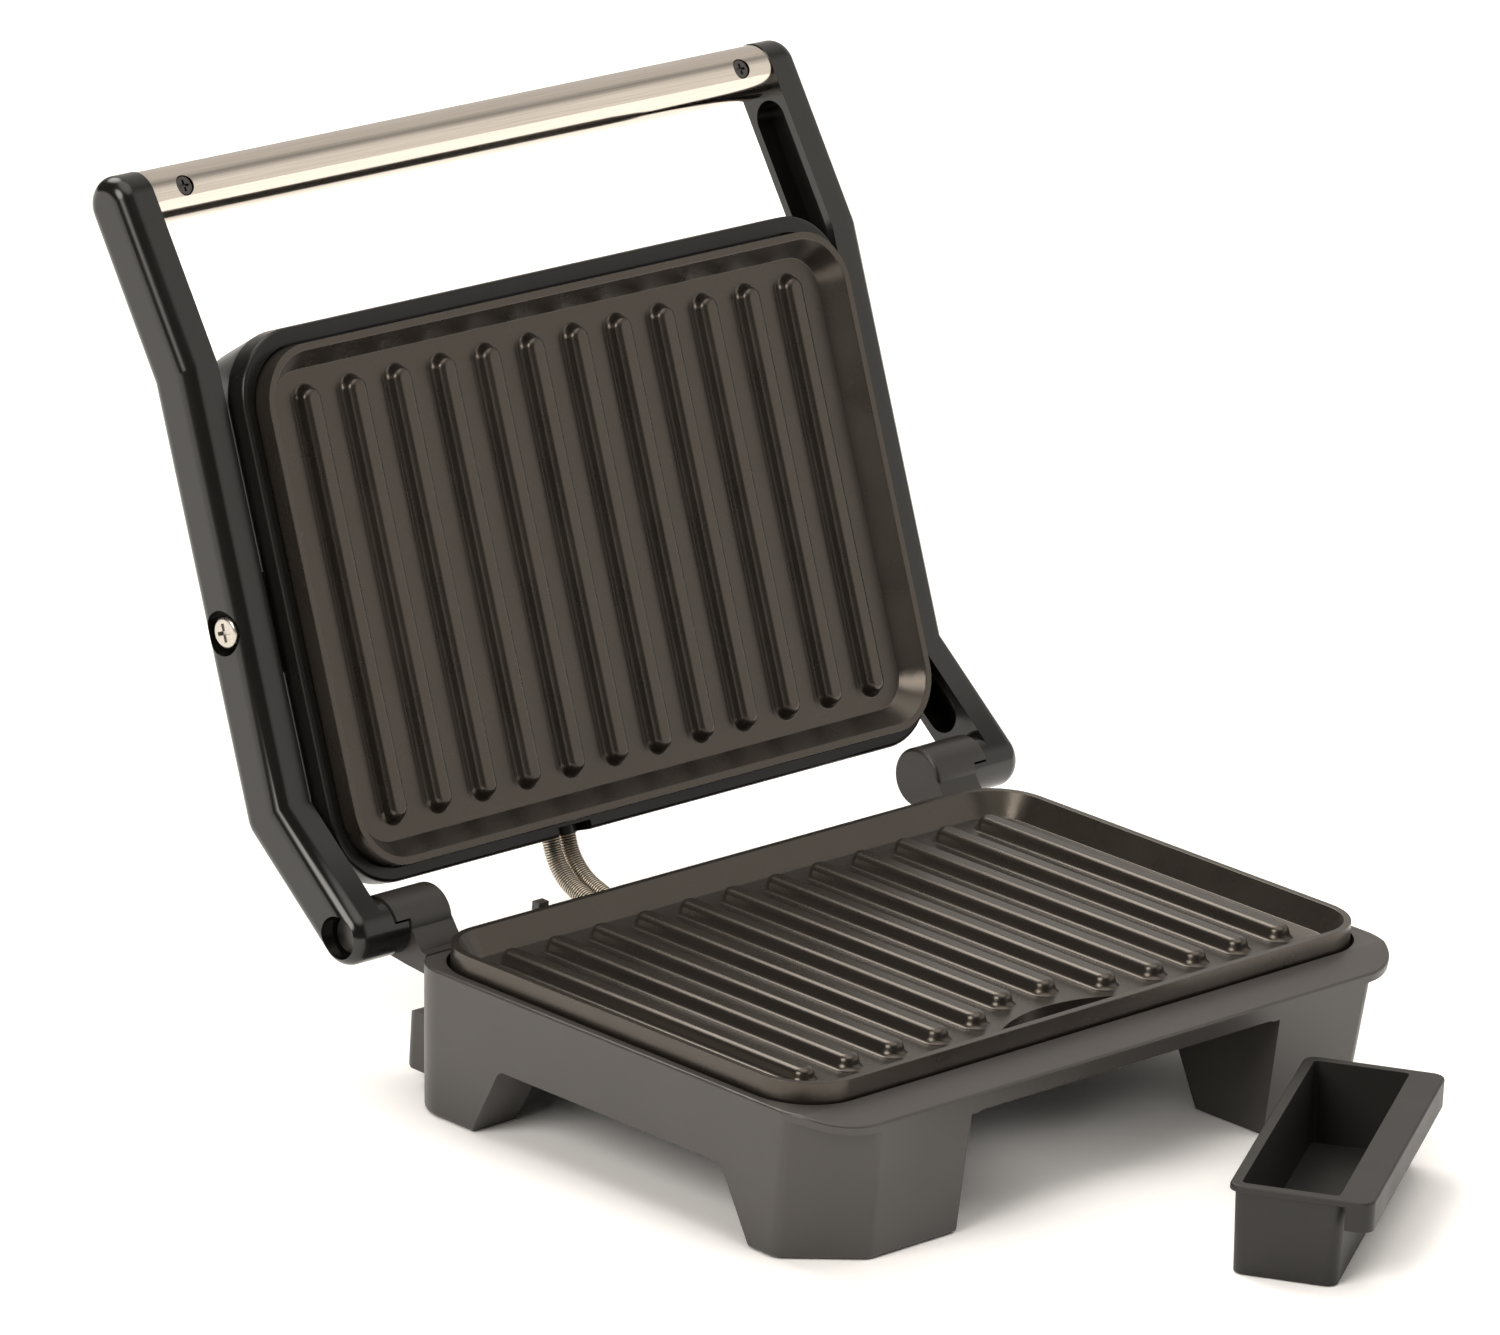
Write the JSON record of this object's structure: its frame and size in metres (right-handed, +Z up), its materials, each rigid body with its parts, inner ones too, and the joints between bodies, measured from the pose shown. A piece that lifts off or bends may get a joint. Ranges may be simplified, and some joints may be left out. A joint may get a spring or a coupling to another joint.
{
  "type": "panini press",
  "caption": "Table-top panini press: ribbed plates in a legged base and a lid that swings on two arms joined by a tube handle, with a loose drip tray.",
  "frame": {"origin": "on the table, under the middle of the lower plate", "axes": "+X to the right, +Y to the hinge at the back, +Z up"},
  "size_m": [0.2788, 0.4047, 0.2532],
  "materials": {
    "charcoal_plastic": "satin charcoal",
    "black_plastic": "semi-gloss black",
    "coated_plate": "satin non-stick coating on cast aluminium",
    "handle_steel": "brushed warm silver",
    "bright_steel": "bright",
    "plain_steel": "plain",
    "sheet_aluminium": "mill",
    "rubber": "matt",
    "white_plastic": "matt"
  },
  "bodies": {
    "base": {"base_shell": "charcoal_plastic", "base_cover": "charcoal_plastic", "base_cover_screws": "plain_steel", "rear_box": "charcoal_plastic", "cord_gland": "black_plastic", "terminal_block": "white_plastic", "lower_plate": "coated_plate", "lower_element": "plain_steel", "lower_reflector": "sheet_aluminium", "lower_reflector_screws": "plain_steel", "lower_plate_screws": "plain_steel", "thermostat": "plain_steel", "thermal_fuse": "plain_steel", "hinge_bracket_right": "black_plastic", "hinge_bracket_left": "black_plastic", "hinge_pins": "plain_steel", "inlet_bushes": "rubber", "conduit_left": "bright_steel", "conduit_right": "bright_steel"},
    "arms": {"right_arm": "black_plastic", "left_arm": "black_plastic", "handle_tube": "handle_steel", "handle_screws": "plain_steel"},
    "lid": {"pivot_screws": "bright_steel", "lid_frame": "charcoal_plastic", "lid_cover": "charcoal_plastic", "upper_plate": "coated_plate", "upper_element": "plain_steel", "upper_reflector": "sheet_aluminium", "upper_reflector_screws": "plain_steel", "upper_plate_screws": "plain_steel", "conduit_ferrules": "bright_steel"},
    "tray": {"drip_tray": "charcoal_plastic"}
  },
  "joints": [
    {"name": "arms_hinge", "type": "hinge", "parent": "base", "child": "arms", "pos_m": [0, 0.0945, 0.0514], "axis": [-1, 0, 0], "range_deg": [-109.8, 0], "deforming": ["conduit_left", "conduit_right"]},
    {"name": "lid_tilt", "type": "hinge", "parent": "arms", "child": "lid", "pos_m": [0, 0.14841, 0.12966], "axis": [1, 0, 0], "range_deg": [0, 4.5], "deforming": ["conduit_left", "conduit_right"]},
    {"name": "tray_slide", "type": "slide", "parent": "base", "child": "tray", "axis": [0.515, -0.8572, 0], "range_m": [0, 0.05]}
  ]
}
